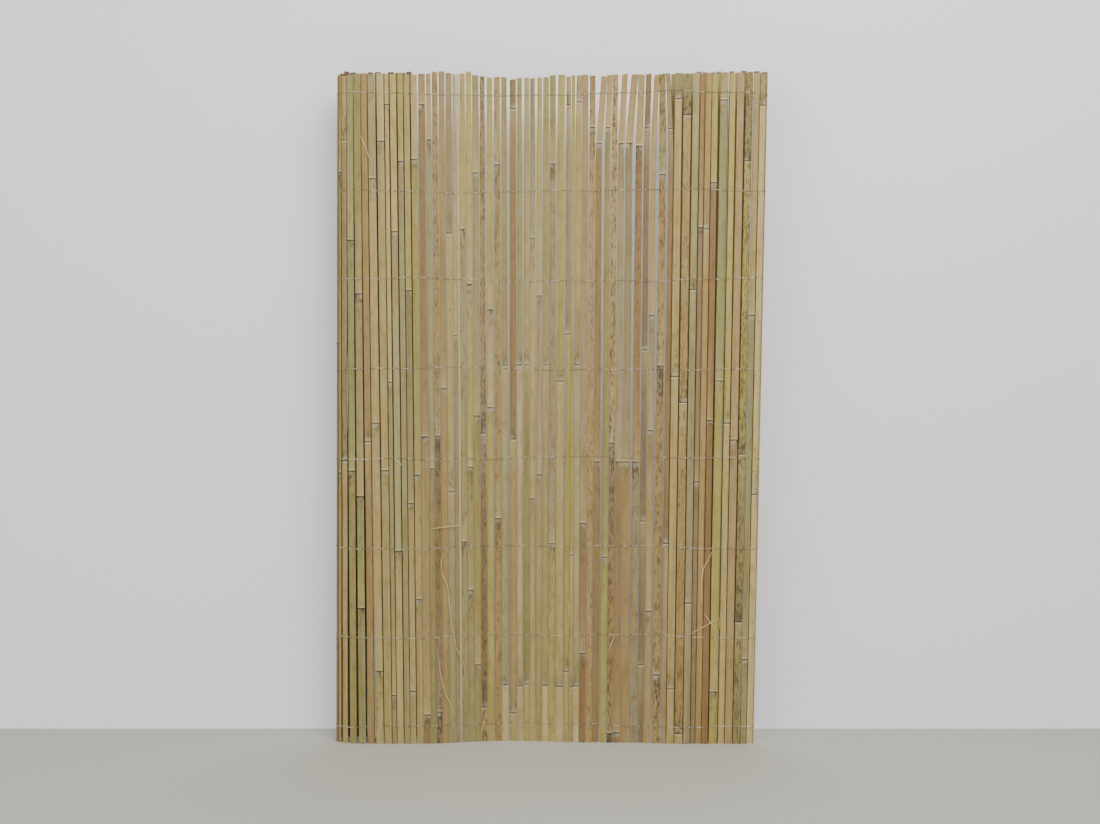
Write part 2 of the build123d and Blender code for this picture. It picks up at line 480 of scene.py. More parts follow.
@dataclass(frozen=True)
class Sweep:
    """A node tree that runs a section along guide lines, with named inputs."""

    name: str
    sides: int

    def group(self) -> tuple[bpy.types.NodeTree, Tree, dict[str, Socket]]:
        """Start the tree with its inputs.

        Returns:
            The group, the tree to add nodes with, and its inputs by name.
        """
        group = bpy.data.node_groups.new(self.name, "GeometryNodeTree")
        sockets = (
            ("Geometry", "NodeSocketGeometry"),
            ("Sides", "NodeSocketInt"),
            ("Seed", "NodeSocketFloat"),
            ("Size", "NodeSocketFloat"),
            ("Finish", "NodeSocketMaterial"),
        )
        for name, kind in sockets:
            group.interface.new_socket(name, in_out="INPUT", socket_type=kind)
        group.interface.new_socket("Geometry", in_out="OUTPUT", socket_type="NodeSocketGeometry")
        tree = Tree(group)
        start = tree.node("NodeGroupInput")
        return group, tree, {name: Socket(tree, start.outputs[name]) for name, _ in sockets}

    @staticmethod
    def read(tree: Tree, name: str, kind: str = "FLOAT") -> Socket:
        """A stored attribute. Args: tree, name, kind: where, which, its data type. Returns: it."""
        return tree.out("GeometryNodeInputNamedAttribute", 0, {"data_type": kind}, {"Name": name})

    @staticmethod
    def store(tree: Tree, shape: Socket, name: str, value: Socket, kind: str = "FLOAT") -> Socket:
        """Store an attribute on points. Args: tree, shape, name, value, kind: as named. Returns: it."""
        inputs = {"Geometry": shape, "Name": name, "Value": value}
        return tree.out("GeometryNodeStoreNamedAttribute", 0, {"data_type": kind, "domain": "POINT"}, inputs)

    @staticmethod
    def ring(tree: Tree, sides: Socket, radius: "Socket | float") -> Socket:
        """The round section of a sweep. Args: tree, sides, radius: as named. Returns: the curve."""
        inputs = {"Resolution": sides, "Radius": radius}
        return tree.out("GeometryNodeCurvePrimitiveCircle", 0, {"mode": "RADIUS"}, inputs)

    @staticmethod
    def end(tree: Tree, shape: Socket, finish: Socket) -> None:
        """Realize what the tree made, give it its finish and put it out.

        Args:
            tree: the tree.
            shape: what the tree made.
            finish: the material.
        """
        whole = tree.out("GeometryNodeRealizeInstances", 0, None, {"Geometry": shape})
        painted = tree.out("GeometryNodeSetMaterial", 0, None, {"Geometry": whole, "Material": finish})
        tree.node("NodeGroupOutput", None, {"Geometry": painted})

    def run(
        self,
        group: bpy.types.NodeTree,
        guide: bpy.types.Mesh,
        name: str,
        seed: float,
        size: float,
        finish: bpy.types.Material,
    ) -> bpy.types.Object:
        """Run the tree on guide lines and keep the plain mesh that it makes.

        Args:
            group: the finished tree.
            guide: the guide lines.
            name: the new piece's name.
            seed: the fixed seed.
            size: the size that the tree asks for, in metres.
            finish: the material.

        Returns:
            The piece, with no modifier.
        """
        carrier = bpy.data.objects.new(name + "_guide", guide)
        bpy.context.scene.collection.objects.link(carrier)
        modifier = carrier.modifiers.new("sweep", "NODES")
        modifier.node_group = group
        values = {"Sides": self.sides, "Seed": seed, "Size": size, "Finish": finish}
        for item in group.interface.items_tree:
            if item.in_out == "INPUT" and item.name in values:
                modifier[item.identifier] = values[item.name]
        bpy.context.view_layer.update()
        graph = bpy.context.evaluated_depsgraph_get()
        mesh = bpy.data.meshes.new_from_object(carrier.evaluated_get(graph), depsgraph=graph)
        bpy.data.objects.remove(carrier)
        mesh.name = name
        piece = bpy.data.objects.new(name, mesh)
        bpy.context.scene.collection.objects.link(piece)
        if signed_volume(mesh) < 0:
            mesh.flip_normals()
        return piece


def signed_volume(mesh: bpy.types.Mesh) -> float:
    """The volume inside a mesh, below zero when its faces look inward.

    Args:
        mesh: a closed mesh.

    Returns:
        The volume.
    """
    points = np.zeros(len(mesh.vertices) * 3)
    mesh.vertices.foreach_get("co", points)
    points = points.reshape(-1, 3)
    mesh.calc_loop_triangles()
    corners = np.zeros(len(mesh.loop_triangles) * 3, np.int32)
    mesh.loop_triangles.foreach_get("vertices", corners)
    a, b, c = (points[corners[start::3]] for start in range(3))
    return float(np.einsum("ij,ij->i", a, np.cross(b, c)).sum() / 6)


# The type and field of an attribute by how many numbers it has
ATTRIBUTE_KINDS = {1: ("FLOAT", "value"), 3: ("FLOAT_VECTOR", "vector"), 4: ("FLOAT_COLOR", "color")}


def guide_mesh(name: str, lines: list[np.ndarray], data: dict[str, list]) -> bpy.types.Mesh:
    """Guide lines as a mesh of edges, with a value of each attribute at every point.

    Args:
        name: the mesh's name.
        lines: the points of each line.
        data: for each attribute its values, in the order of the points.

    Returns:
        The mesh.
    """
    points = [tuple(point) for line in lines for point in line]
    edges, start = [], 0
    for line in lines:
        edges += [(start + n, start + n + 1) for n in range(len(line) - 1)]
        start += len(line)
    mesh = bpy.data.meshes.new(name)
    mesh.from_pydata(points, edges, [])
    for key, values in data.items():
        kind, field = ATTRIBUTE_KINDS[np.size(values[0])]
        made = mesh.attributes.new(key, kind, "POINT")
        made.data.foreach_set(field, np.array(values, dtype=np.float64).ravel())
    return mesh


@dataclass
class SlatPlace:
    """Where one slat of the part stands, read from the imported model, in metres."""

    stretch: str
    number: int
    width: float
    heading: float
    foot: Vector
    top: Vector
    nodes: list[float]
    gap_before: float = 0.0
    gap_after: float = 0.0
    reach_before: float = 0.0
    reach_after: float = 0.0
    splay: float = 0.0
    splay_start: float = 1.33

    def at(self, height: float) -> Vector:
        """The middle of the slat at a height.

        Args:
            height: above the ground.

        Returns:
            The point.
        """
        point = self.foot.lerp(self.top, (height - self.foot.z) / (self.top.z - self.foot.z))
        past = max(0.0, (height - self.splay_start) / (self.top.z - self.splay_start))
        aside = (self.reach_after - self.reach_before) * self.spread(height) / 2
        return point + self.along() * (self.splay * past**1.2 + aside)

    def spread(self, height: float) -> float:
        """What part of its share of the gaps it takes. Args: height: above ground. Returns: a factor."""
        return SPREAD_AT_FOOT - SPREAD_LOST_AT_TOP * height / self.top.z

    def half_width(self, height: float) -> float:
        """Half the width, with the share of the gaps. Args: height: above the ground. Returns: metres."""
        return self.width / 2 + (self.reach_before + self.reach_after) * self.spread(height) / 2

    def room(self) -> float:
        """How far an edge may wander. Returns: half of what is left of the smaller gap."""
        sides = ((self.gap_before, self.reach_before), (self.gap_after, self.reach_after))
        return min(gap / 2 - reach * SPREAD_AT_FOOT for gap, reach in sides)

    def along(self) -> Vector:
        """The way the sheet runs at this slat. Returns: a level unit vector."""
        return Vector((math.cos(self.heading), math.sin(self.heading), 0))

    def outward(self) -> Vector:
        """The way its skin faces. Returns: a level unit vector."""
        return Vector((math.sin(self.heading), -math.cos(self.heading), 0))


class SheetPlan:
    """Every slat of the part in its order along the sheet."""

    ORDER = ("left_return", "left_turn", "front", "right_turn", "right_return")
    THICKNESS = 3.6 * MM
    WIDEST_GAP = 14 * MM
    GAP_PAST_ENDS = 0.5 * MM
    # Of a gap beyond the first figure, either slat takes a share between the other two
    LEFT_OPEN = 1.6 * MM
    TAKEN = (0.2, 0.33)
    SEED = 11

    def __init__(self, nodes: dict[str, bpy.types.Object]) -> None:
        """Read all slats.

        Args:
            nodes: the part's nodes by name.
        """
        self.node_names = sorted(name for name in nodes if "_slats_" in name)
        self.slats: list[SlatPlace] = []
        for name in self.node_names:
            stretch, first = self.parts_of(name)
            found = [self.measure(points) for points in self.islands(nodes[name].data)]
            way = sum((Vector((math.cos(one[1]), math.sin(one[1]), 0)) for one in found), Vector())
            found.sort(key=lambda one: one[2].dot(way))
            for offset, (width, heading, foot, top, heights) in enumerate(found):
                number = first + offset
                splay = SPLAYED_TOPS.get(number, 0.0) * MM if stretch == "front" else 0.0
                self.slats.append(SlatPlace(stretch, number, width, heading, foot, top, heights, splay=splay))
        self.slats.sort(key=lambda one: (self.ORDER.index(one.stretch), one.number))
        middles = [slat.at(HALF_HEIGHT) for slat in self.slats]
        chance = random.Random(self.SEED)
        for number, (before, after) in enumerate(zip(self.slats, self.slats[1:])):
            apart = (middles[number + 1] - middles[number]).length - (before.width + after.width) / 2
            before.gap_after = after.gap_before = min(max(apart, 0.0), self.WIDEST_GAP)
            share = 0.0 if "turn" in before.stretch + after.stretch else chance.uniform(*self.TAKEN)
            before.reach_after = after.reach_before = share * max(0.0, apart - self.LEFT_OPEN)
        self.slats[0].gap_before = self.slats[-1].gap_after = self.GAP_PAST_ENDS
        log.info("read %d slats from %d nodes", len(self.slats), len(self.node_names))

    @staticmethod
    def parts_of(node: str) -> tuple[str, int]:
        """What a node's name says. Args: node: the name. Returns: its stretch and first slat's number."""
        stretch, numbers = node.split("_slats_")
        return stretch, int(numbers.split("_")[0])

    @staticmethod
    def islands(mesh: bpy.types.Mesh) -> list[np.ndarray]:
        """The separate solids of a node, each as its distinct points.

        Args:
            mesh: the node's mesh of loose triangles.

        Returns:
            The points of each solid.
        """
        points = np.array([v.co for v in mesh.vertices])
        distinct, names = np.unique(np.round(points * 1e5).astype(int), axis=0, return_inverse=True)
        names = names.reshape(-1)
        parent = list(range(len(distinct)))

        def root(one: int) -> int:
            """The first of a group. Args: one: a member. Returns: the first member."""
            while parent[one] != one:
                parent[one] = parent[parent[one]]
                one = parent[one]
            return one

        for face in mesh.polygons:
            corners = [names[v] for v in face.vertices]
            for other in corners[1:]:
                parent[root(other)] = root(corners[0])
        groups: dict[int, list[int]] = {}
        for one in range(len(distinct)):
            groups.setdefault(root(one), []).append(one)
        return [distinct[members] / 1e5 for members in groups.values()]

    @classmethod
    def measure(cls, points: np.ndarray) -> tuple[float, float, Vector, Vector, list[float]]:
        """A slat's width, heading, ends and nodes from its distinct points.

        Args:
            points: the corners of all its rings.

        Returns:
            Width, heading in radians, foot, top, and the heights of its nodes.
        """
        levels = np.unique(np.round(points[:, 2], 4))
        ends = []
        for level in (levels[0], levels[-1]):
            ring = points[np.abs(points[:, 2] - level) < 1e-4]
            centre = ring.mean(axis=0)
            turn = np.arctan2(ring[:, 1] - centre[1], ring[:, 0] - centre[0])
            ring = ring[np.argsort(turn)]
            sides = np.roll(ring, -1, axis=0) - ring
            lengths = np.linalg.norm(sides, axis=1)
            longest = int(np.argmax(lengths))
            run = -sides[longest] / lengths[longest]
            inner = Vector(ring[longest] + sides[longest] / 2)
            middle = inner + Vector((run[1], -run[0], 0)) * (cls.THICKNESS / 2)
            ends.append((float(lengths[longest]), math.atan2(run[1], run[0]), middle))
        (width, heading, foot), (_, _, top) = ends
        return width, heading, foot, top, [float(z) for z in levels[1:-1][1::3]]


# Tones of the front slats in their order from the left, each from its top internode down to its foot
FRONT_TONES = (
    "orange orange", "grey_green straw", "pale straw", "pale pale grey_green", "straw grey_green straw",
    "yellow grey_green", "straw grey straw", "pale yellow straw", "brown brown tan brown",
    "straw grey_green olive", "tan brown brown", "orange tan", "grey straw grey_green", "straw grey",
    "pale", "straw grey_green", "yellow yellow olive", "olive grey olive", "tan brown tan",
    "yellow straw yellow", "tan tan", "olive grey_green pale", "brown brown tan", "olive straw straw",
    "straw olive yellow", "grey straw", "yellow tan", "olive olive pale", "olive grey yellow",
    "yellow straw pale", "straw grey yellow yellow", "yellow straw tan", "tan tan grey_green pale",
    "pink rust rust", "brown tan rust", "tan brown", "tan olive yellow", "tan brown dark", "tan grey brown",
    "tan grey tan", "tan brown grey", "rust purple purple", "tan grey tan", "olive orange tan",
    "pink brown pink", "olive straw straw", "olive tan tan", "grey_green grey", "brown purple", "tan tan",
    "yellow rust", "olive green yellow", "yellow straw", "pink pink", "olive yellow olive",
    "straw grey_green",
)
# The same for the slats of the left turn from the fourth on, which the photo shows
TURN_TONES = {
    4: "olive grey",
    5: "orange olive tan",
    6: "straw grey straw",
    7: "grey_green green olive",
    8: "olive grey_green green",
}
CORNER_TONES = "grey_green pale"
HIDDEN_TONES = Tone.listed("brown olive grey tan dark")
DOWNWARD_FRONT = {1, 13, 19, 22, 23, 24, 25, 28, 30, 31, 32, 33, 42, 45, 46, 47, 48, 50, 53, 55}
SPECKLED_FRONT = {
    11: 0.7, 16: 0.35, 17: 0.3, 19: 0.8, 21: 0.5, 29: 0.4,
    35: 0.6, 38: 0.8, 41: 0.5, 44: 0.7, 47: 0.5, 55: 0.7,
}
# Painted shade on the cut edges and inner sides: how lit they are painted, 1 for no painted shade, darker
# where a second layer stands behind
PAINTED_LIGHT_INSIDE = {"front": 0.7, "left_return": 0.42, "left_turn": 0.45, "right_turn": 1.0, "right_return": 1.0}
# Front slats with no second layer behind them get less painted shade
PAINTED_LIGHT_INSIDE_OPEN = 0.75
OPEN_FRONT = range(9, 46)
BRIGHT_FRONT = range(12, 39)
# How far the tops of front slats lean to the right above their start, in mm
SPLAYED_TOPS = {
    30: 2, 33: 1.8, 36: 11.5, 37: 4.5, 38: 2, 39: 7, 40: 12.5, 41: 4, 42: 3, 43: 5.5, 44: -3, 45: -9,
}


@dataclass(frozen=True)
class SlatStretch:
    """The dressed slats of one part of the sheet, which take the place of its nodes."""

    name: str
    stretch: str
    first: int
    last: int
    sweep: Sweep
    coarse_step: float = 45 * MM
    node_reach: float = 13 * MM
    crown: float = 0.7 * MM
    thickness: float = 3.55 * MM
    end_round: float = 0.5 * MM
    cut_reach: float = 4 * MM
    warmth: Tint = (1.0, 0.985, 0.9)
    shades: tuple[float, float] = (0.87, 1.09)
    brighter: tuple[float, float] = (1.04, 1.09)  # the sides and the bright middle of the front
    # The swelling at a node: distance from it, height of the outer face there, both in mm
    swelling: tuple[tuple[float, float], ...] = (
        (-12, 0), (-7, 0.06), (-4.5, 0.18), (-3, 0.3), (-2, 0.42), (-1.2, 0.46), (-0.6, 0.25), (-0.12, 0.02),
        (0.12, 0.02), (0.7, 0.5), (1.6, 0.57), (3, 0.42), (5, 0.2), (8, 0.05), (12, 0),
    )

    def holds(self, stretch: str, number: int) -> bool:
        """Whether a slat belongs here. Args: stretch, number: the slat's. Returns: true if it does."""
        return stretch == self.stretch and self.first <= number <= self.last

    def tones(self, slat: SlatPlace, chance: random.Random) -> tuple[Tone, ...]:
        """The tones of a slat's internodes.

        Args:
            slat: the slat.
            chance: the stretch's own random numbers.

        Returns:
            Tones from the top down.
        """
        if slat.stretch == "front":
            return Tone.listed(FRONT_TONES[slat.number - 1])
        if slat.stretch == "left_turn" and slat.number in TURN_TONES:
            return Tone.listed(TURN_TONES[slat.number])
        if slat.stretch == "right_turn" and slat.number == 1:
            return Tone.listed(CORNER_TONES)
        return tuple(chance.choice(HIDDEN_TONES) for _ in range(3))

    def heights(self, slat: SlatPlace) -> list[float]:
        """Where along a slat its section is set: close at the nodes and ends, wide between.

        Args:
            slat: the slat.

        Returns:
            Heights from the foot up.
        """
        low, high = slat.foot.z, slat.top.z
        made = [low, low + self.end_round, low + self.cut_reach]
        made += [high - self.cut_reach, high - self.end_round, high]
        for node in slat.nodes:
            made += [node + offset * MM for offset, _ in self.swelling]
        steps = int((high - low) / self.coarse_step)
        for number in range(1, steps):
            height = low + (high - low) * number / steps
            if all(abs(height - node) > self.node_reach for node in slat.nodes):
                made.append(height)
        return sorted(h for h in made if low <= h <= high)

    def nature(self, slat: SlatPlace, chance: random.Random) -> dict:
        """What one slat has by itself, drawn in a fixed order.

        Args:
            slat: the slat.
            chance: the stretch's own random numbers.

        Returns:
            Its seed, growth, specks, tones, shade, twist, slope of its top cut and how lit its inside is
            painted.
        """
        front = slat.stretch == "front"
        seed = chance.random()
        downward = slat.number in DOWNWARD_FRONT if front else chance.random() < 0.5
        tones = self.tones(slat, chance)
        bright = front and slat.number in BRIGHT_FRONT
        airy = front and slat.number in OPEN_FRONT
        return {
            "seed": seed,
            "upward": not downward and slat.stretch != "right_turn",
            "specks": SPECKLED_FRONT.get(slat.number, 0.08) if front else 0.25,
            "tones": tones,
            "shade": chance.uniform(*self.shades) * self.brighter[bright],
            "twist": math.radians(chance.uniform(-2.2, 2.2)),
            "slope": chance.uniform(-0.9, 0.9) * MM,
            "inside": PAINTED_LIGHT_INSIDE_OPEN if airy else PAINTED_LIGHT_INSIDE[slat.stretch],
        }

    def station(self, slat: SlatPlace, nature: dict, height: float) -> dict[str, float | list[float]]:
        """What the sweep and the finish need at one height of a slat.

        Args:
            slat: the slat.
            nature: what the slat has by itself.
            height: above the ground.

        Returns:
            A value for each attribute.
        """
        growth = Growth.UPWARD if nature["upward"] else Growth.DOWNWARD
        over = min((height - node for node in slat.nodes if node <= height), default=FAR)
        under = min((node - height for node in slat.nodes if node > height), default=FAR)
        nodes_above = sum(node > height for node in slat.nodes)
        tone = nature["tones"][min(nodes_above, len(nature["tones"]) - 1)]
        near = min(slat.nodes, key=lambda node: abs(node - height), default=9.0)
        rise = float(np.interp((height - near) / MM * growth.value, *zip(*self.swelling))) * MM
        from_end = min(height - slat.foot.z, slat.top.z - height)
        rounding = 0.35 * MM * max(0.0, 1 - from_end / self.end_round)
        from_top = slat.top.z - height if height > HALF_HEIGHT else self.cut_reach
        return {
            "half_width": slat.half_width(height) - rounding + rise * 0.25,
            "heading": slat.heading + nature["twist"] * math.sin(height * 4 + nature["seed"] * 6),
            "rise": rise,
            "room": slat.room(),
            "tone": [part * nature["shade"] * warm for part, warm in zip(tone.colour(), self.warmth)] + [1.0],
            "seed": nature["seed"],
            "specks": nature["specks"],
            "inside": nature["inside"],
            "bright_side": over if nature["upward"] else under,
            "waxy_side": under if nature["upward"] else over,
            "trim": nature["slope"] * max(0.0, 1 - from_top / self.cut_reach),
        }

    def guide(self, slats: list[SlatPlace]) -> bpy.types.Mesh:
        """One guide line up each slat, with what the sweep and the finish need.

        Args:
            slats: the slats.

        Returns:
            The guide lines.
        """
        chance = random.Random(f"{self.name} tones")
        data: dict[str, list] = {}
        lines = []
        for slat in slats:
            nature = self.nature(slat, chance)
            heights = self.heights(slat)
            for height in heights:
                for key, value in self.station(slat, nature, height).items():
                    data.setdefault(key, []).append(value)
            lines.append(np.array([tuple(slat.at(height)) for height in heights]))
        return guide_mesh(self.name, lines, data)

    def group(self) -> bpy.types.NodeTree:
        """The sweep of a rounded, crowned section along the guide lines.

        Returns:
            The node tree.
        """
        group, tree, given = self.sweep.group()
        read, store = self.sweep.read, self.sweep.store
        line = tree.out("GeometryNodeMeshToCurve", 0, None, {"Mesh": given["Geometry"]})
        line = store(tree, line, "spine", tree.out("GeometryNodeInputPosition", 0), "FLOAT_VECTOR")
        ring = self.sweep.ring(tree, given["Sides"], 1.0)
        ring = store(tree, ring, "rim", tree.out("GeometryNodeInputPosition", 0), "FLOAT_VECTOR")
        inputs = {"Curve": line, "Profile Curve": ring, "Fill Caps": True}
        solid = tree.out("GeometryNodeCurveToMesh", 0, None, inputs)

        rim = tree.node("ShaderNodeSeparateXYZ", None, {0: read(tree, "rim", "FLOAT_VECTOR")})
        spine = tree.node("ShaderNodeSeparateXYZ", None, {0: read(tree, "spine", "FLOAT_VECTOR")})
        across, through = Socket(tree, rim.outputs[0]), Socket(tree, rim.outputs[1])
        x, y, z = (Socket(tree, spine.outputs[n]) for n in range(3))
        heading, half, seed = read(tree, "heading"), read(tree, "half_width"), read(tree, "seed")

        share = across.maths("ABSOLUTE").maths("POWER", 0.32) * across.maths("SIGN")
        depth = through.maths("ABSOLUTE").maths("POWER", 0.42) * through.maths("SIGN")
        skin = through.ramp(-0.1, 0.25)
        reach = share * half
        out = depth * (given["Size"] / 2.0) - skin * (share.maths("ABSOLUTE") ** 2.2) * self.crown
        out = out + skin * read(tree, "rise") * (1.0 - 0.35 * share.maths("ABSOLUTE") ** 3.0)

        # Each edge wanders a little by itself, within the room that the gaps leave
        side = across.maths("SIGN")
        wander = tree.noise(tree.xyz(seed * 40.0 + side * 3.0, given["Seed"], z * 5.0), 1.0, 2.0) - 0.5
        bow = tree.noise(tree.xyz(seed * 90.0, given["Seed"] + 5.0, z * 1.6), 1.0, 1.0) - 0.5
        free = read(tree, "room").maths("MINIMUM", 0.0016)
        reach = reach + (wander * 0.9 + bow * 1.5) * free
        drop = read(tree, "trim") * share - read(tree, "trim").maths("ABSOLUTE")
        cos, sin = heading.maths("COSINE"), heading.maths("SINE")
        place = tree.xyz(x + cos * reach + sin * out, y + sin * reach - cos * out, z + drop)
        solid = tree.out("GeometryNodeSetPosition", 0, None, {"Geometry": solid, "Position": place})
        solid = store(tree, solid, "across", share * half)
        solid = store(tree, solid, "outer", through.ramp(-0.05, 0.3))

        normal = tree.out("GeometryNodeInputNormal", 0)
        upright = tree.out("ShaderNodeSeparateXYZ", 2, None, {0: normal})
        upright = upright.maths("ABSOLUTE").maths("LESS_THAN", 0.8)
        solid = tree.out("GeometryNodeSetShadeSmooth", 0, None, {"Geometry": solid, "Shade Smooth": upright})
        self.sweep.end(tree, solid, given["Finish"])
        return group

    def build(self, plan: SheetPlan, finish: bpy.types.Material) -> bpy.types.Object:
        """Build and dress the slats.

        Args:
            plan: all slats.
            finish: the bamboo.

        Returns:
            The piece.
        """
        slats = [slat for slat in plan.slats if self.holds(slat.stretch, slat.number)]
        guide = self.guide(slats)
        piece = self.sweep.run(self.group(), guide, self.name, float(self.first), self.thickness, finish)
        names = [node for node in plan.node_names if self.holds(*plan.parts_of(node))]
        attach(piece, "root")
        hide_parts(*names)
        log.info("%s: %d slats, %d faces", self.name, len(slats), len(piece.data.polygons))
        return piece


@dataclass(frozen=True)
class WireRow:
    """One row of tie wire: two strands that change sides by a twist in every gap."""

    number: int
    height: float
    sweep: Sweep
    radius: float = 0.55 * MM
    over_slat: float = 2.45 * MM
    in_gap: float = 0.75 * MM
    wide_gap: float = 5.5 * MM
    wander: float = 5 * MM
    # The twisted tail at a free end: how far past the slat, and its turn there
    tail: tuple[tuple[float, float], ...] = ((2 * MM, 1.2 * math.pi), (3.5 * MM, 2.2 * math.pi))

    def guide(self, plan: SheetPlan) -> bpy.types.Mesh:
        """The line that both strands wind about, with their turn and reach at every point.

        Args:
            plan: all slats.

        Returns:
            The guide line.
        """
        chance = random.Random(self.number * 7)
        phases = [chance.uniform(0, math.tau) for _ in range(3)]
        points, turns, reaches, sides = [], [], [], []
        turn, count = 0.0, len(plan.slats)

        def put(point: Vector, angle: float, reach: float, side: Vector) -> None:
            """Set a point. Args: point, angle, reach, side: its place, turn, offset and way out."""
            drift = math.sin(point.x * 7 + phases[0]) * 0.5 + math.sin(point.x * 17 + phases[1]) * 0.3
            drift += math.sin(point.x * 41 + phases[2]) * 0.2
            points.append((point.x, point.y, point.z + drift * self.wander))
            turns.append(angle)
            reaches.append(reach)
            sides.append(tuple(side))

        for number, slat in enumerate(plan.slats):
            middle, along, side = slat.at(self.height), slat.along(), slat.outward()
            half = slat.half_width(self.height)
            slant = chance.uniform(0.15, 0.5)
            if number == 0:
                for past, angle in reversed(self.tail):
                    put(middle - along * (half + past), turn - angle, self.in_gap, side)
            for share in (-0.97, -0.5, 0.0, 0.5, 0.97):
                reach = self.over_slat - 0.25 * MM * abs(share) ** 3
                put(middle + along * (half * share), turn + slant * share * 0.6, reach, side)
            if number + 1 == count:
                for past, angle in self.tail:
                    put(middle + along * (half + past), turn + angle, self.in_gap, side)
                break
            after = plan.slats[number + 1]
            start = middle + along * half
            end = after.at(self.height) - after.along() * after.half_width(self.height)
            halves = 3 if (end - start).length > self.wide_gap else 1
            middle_side = (side + after.outward()).normalized()
            steps = 4 * halves
            for step in range(1, steps):
                share = step / steps
                swing = abs(2 * share - 1) ** 2.0
                reach = self.in_gap + (self.over_slat * 0.8 - self.in_gap) * swing
                put(start.lerp(end, share), turn + math.pi * halves * share, reach, middle_side)
            turn += math.pi * halves
        data = {"turn": turns, "reach": reaches, "side": sides}
        return guide_mesh(f"wire_row_{self.number}", [np.array(points)], data)

    def group(self) -> bpy.types.NodeTree:
        """The sweep of two round strands about the guide line.

        Returns:
            The node tree.
        """
        group, tree, given = self.sweep.group()
        read = self.sweep.read
        line = tree.out("GeometryNodeMeshToCurve", 0, None, {"Mesh": given["Geometry"]})
        ring = self.sweep.ring(tree, given["Sides"], given["Size"])
        joined = tree.node("GeometryNodeJoinGeometry")
        for phase in (0.0, math.pi):
            angle = read(tree, "turn") + phase
            reach = read(tree, "reach")
            side = read(tree, "side", "FLOAT_VECTOR")
            swing = angle.maths("COSINE") * reach
            out = tree.out("ShaderNodeVectorMath", 0, {"operation": "SCALE"}, {0: side, "Scale": swing})
            up = tree.xyz(0.0, 0.0, angle.maths("SINE") * reach)
            offset = tree.out("ShaderNodeVectorMath", 0, {"operation": "ADD"}, {0: out, 1: up})
            strand = tree.out("GeometryNodeSetPosition", 0, None, {"Geometry": line, "Offset": offset})
            inputs = {"Curve": strand, "Profile Curve": ring, "Fill Caps": True}
            solid = tree.out("GeometryNodeCurveToMesh", 0, None, inputs)
            tree.tree.links.new(solid.socket, joined.inputs[0])
        self.sweep.end(tree, Socket(tree, joined.outputs[0]), given["Finish"])
        return group

    def build(self, plan: SheetPlan, finish: bpy.types.Material) -> bpy.types.Object:
        """Build and dress the row.

        Args:
            plan: all slats.
            finish: the wire.

        Returns:
            The piece.
        """
        name = f"tie_wire_row_{self.number}"
        piece = self.sweep.run(self.group(), self.guide(plan), name, float(self.number), self.radius, finish)
        piece.data.shade_smooth()
        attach(piece, "root")
        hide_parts(f"wire_row_{self.number}")
        log.info("%s: %d faces", name, len(piece.data.polygons))
        return piece


@dataclass(frozen=True)
class View:
    """The camera and how a point of its image lies on the front of the screen."""

    focal: float = 1334.0
    distance: float = 3.0
    centre: tuple[float, float] = (550.0, 412.0)
    middle_px: float = 559.45
    middle_x: float = 0.0
    ends_at: ClassVar[float] = 1.121  # the height at which the ends of the front were measured
    ground: float = 744.0
    width: int = 1100

    def scale(self) -> float:
        """The size of a pixel on the front of the screen. Returns: metres."""
        return self.distance / self.focal

    def place(self) -> tuple[float, float]:
        """Where the camera stands across and how high. Returns: x and z in metres."""
        across = self.middle_x - (self.middle_px - self.centre[0]) * self.scale()
        return across, (self.ground - self.centre[1]) * self.scale()

    def point(self, px: float, py: float, behind: float) -> tuple[float, float]:
        """x and z of an image point at a depth behind the front.

        Args:
            px: across the image.
            py: down the image.
            behind: metres behind the foremost face.

        Returns:
            x and z in metres.
        """
        x0, z0 = self.place()
        scale = (self.distance + behind) / self.focal
        return x0 + (px - self.centre[0]) * scale, z0 + (self.centre[1] - py) * scale

    def build(self, front: float) -> bpy.types.Object:
        """Set up the camera.

        Args:
            front: y of the foremost face.

        Returns:
            The camera.
        """
        data = bpy.data.cameras.new("camera")
        data.lens = self.focal / self.width * data.sensor_width
        camera = bpy.data.objects.new("camera", data)
        x, z = self.place()
        camera.location = (x, front - self.distance, z)
        camera.rotation_euler = (math.pi / 2, 0, 0)
        bpy.context.scene.collection.objects.link(camera)
        bpy.context.scene.camera = camera
        return camera


